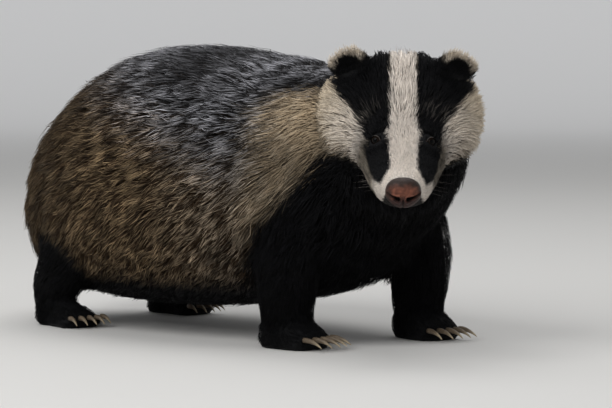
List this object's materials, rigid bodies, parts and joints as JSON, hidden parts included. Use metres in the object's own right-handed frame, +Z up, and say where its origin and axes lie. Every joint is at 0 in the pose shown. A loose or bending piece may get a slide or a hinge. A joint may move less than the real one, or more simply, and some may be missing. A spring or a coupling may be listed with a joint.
{
  "type": "european badger",
  "caption": "Life-size standing badger with its head lowered and turned to its right, a still museum-style model in fur, resting on the soles of its paws.",
  "frame": {"origin": "bottom centre of the box round the whole animal, on the floor", "axes": "+X the way the trunk points, +Y the animal's left, +Z up"},
  "size_m": [0.6754, 0.2926, 0.2906],
  "materials": {
    "grizzled_coat": "long grizzled fur, silver-grey on the back and tan on the flank",
    "cream_coat": "long cream fur",
    "face_coat": "short white and black fur",
    "ear_coat": "short black fur with a white rim",
    "dark_coat": "black-brown fur",
    "eye": "wet and shiny",
    "nose_skin": "moist pebbled skin",
    "claw": "dull horn"
  },
  "bodies": {
    "root": {"trunk": "grizzled_coat", "neck": "cream_coat", "head": "face_coat", "tail": "cream_coat", "ear_left": "ear_coat", "ear_right": "ear_coat", "eye_left": "eye", "eye_right": "eye", "nose": "nose_skin", "leg_front_left": "dark_coat", "leg_front_right": "dark_coat", "leg_hind_left": "dark_coat", "leg_hind_right": "dark_coat", "paw_front_left": "dark_coat", "paw_front_right": "dark_coat", "paw_hind_left": "dark_coat", "paw_hind_right": "dark_coat", "claw_front_left_1": "claw", "claw_front_left_2": "claw", "claw_front_left_3": "claw", "claw_front_left_4": "claw", "claw_front_left_5": "claw", "claw_front_right_1": "claw", "claw_front_right_2": "claw", "claw_front_right_3": "claw", "claw_front_right_4": "claw", "claw_front_right_5": "claw", "claw_hind_left_1": "claw", "claw_hind_left_2": "claw", "claw_hind_left_3": "claw", "claw_hind_left_4": "claw", "claw_hind_left_5": "claw", "claw_hind_right_1": "claw", "claw_hind_right_2": "claw", "claw_hind_right_3": "claw", "claw_hind_right_4": "claw", "claw_hind_right_5": "claw"}
  },
  "joints": []
}
